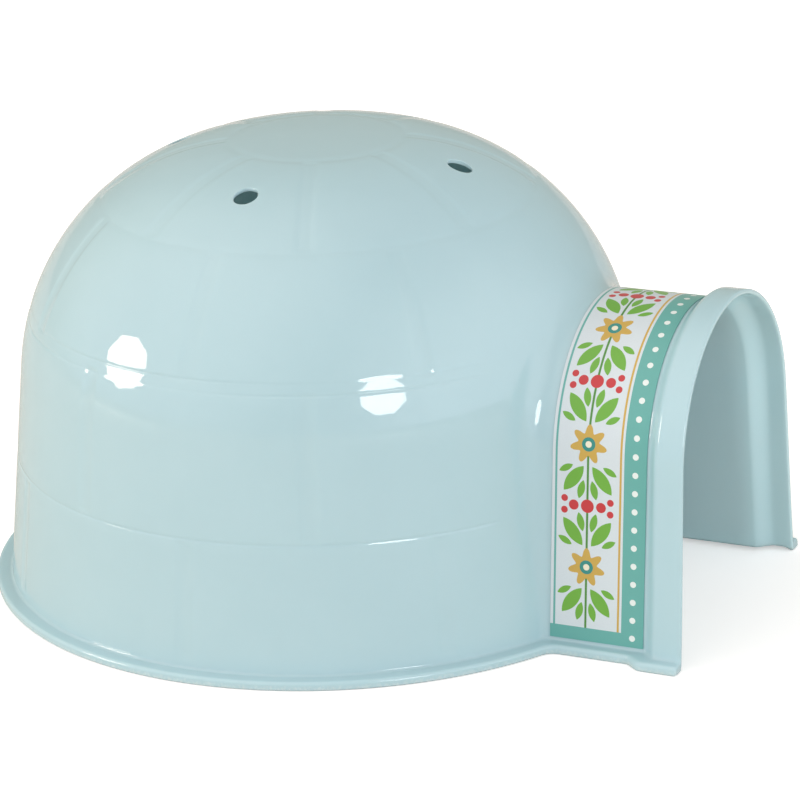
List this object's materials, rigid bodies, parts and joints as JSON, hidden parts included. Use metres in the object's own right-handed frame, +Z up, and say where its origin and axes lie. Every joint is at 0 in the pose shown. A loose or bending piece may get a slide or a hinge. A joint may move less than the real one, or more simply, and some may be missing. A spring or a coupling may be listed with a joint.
{
  "type": "pet igloo",
  "caption": "Moulded plastic igloo shelter for small pets: open-bottomed dome with air vents, an arched entrance tunnel and a printed wrap over the tunnel.",
  "frame": {"origin": "middle of the footprint, on the floor that the rim rests on", "axes": "+Z up, the entrance tunnel points along -Y, +X to the right of someone who looks into the entrance"},
  "size_m": [0.265, 0.3, 0.17],
  "materials": {
    "shell_plastic": "glossy pale blue moulded polypropylene",
    "label_paper": "satin coated printed paper"
  },
  "bodies": {
    "root": {"igloo_shell": "shell_plastic", "tunnel_label": "label_paper"}
  },
  "joints": []
}
